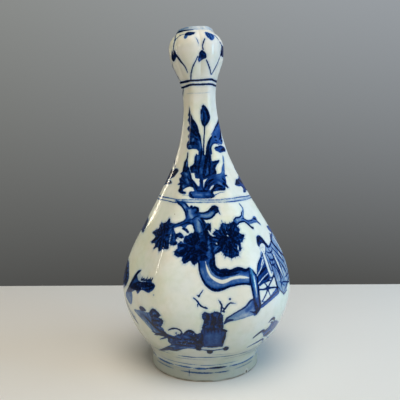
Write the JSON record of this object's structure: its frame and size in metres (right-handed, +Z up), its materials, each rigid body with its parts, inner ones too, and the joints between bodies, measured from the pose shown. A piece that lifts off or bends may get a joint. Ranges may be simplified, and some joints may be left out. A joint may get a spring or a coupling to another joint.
{
  "type": "garlic-mouth vase",
  "caption": "Tall hexagonal bottle vase with a lobed garlic-bulb mouth on a slender, slightly leaning neck, in blue-and-white glazed porcelain.",
  "frame": {"origin": "middle of the vase, on the plane that the foot stands on", "axes": "+Z up towards the mouth; -Y is the front, the painted side that faces the viewer; two corners of the hexagon lie on X"},
  "size_m": [0.149, 0.1408, 0.291],
  "materials": {
    "painted_glaze": "glossy bluish-white glaze over cobalt-blue painting",
    "foot_glaze": "glossy glaze, wiped off on the land that stands on the table"
  },
  "bodies": {
    "root": {"foot_ring": "foot_glaze", "base_floor": "foot_glaze", "lower_belly": "painted_glaze", "shoulder": "painted_glaze", "neck": "painted_glaze", "garlic_bulb": "painted_glaze", "mouth_lip": "painted_glaze"}
  },
  "joints": []
}
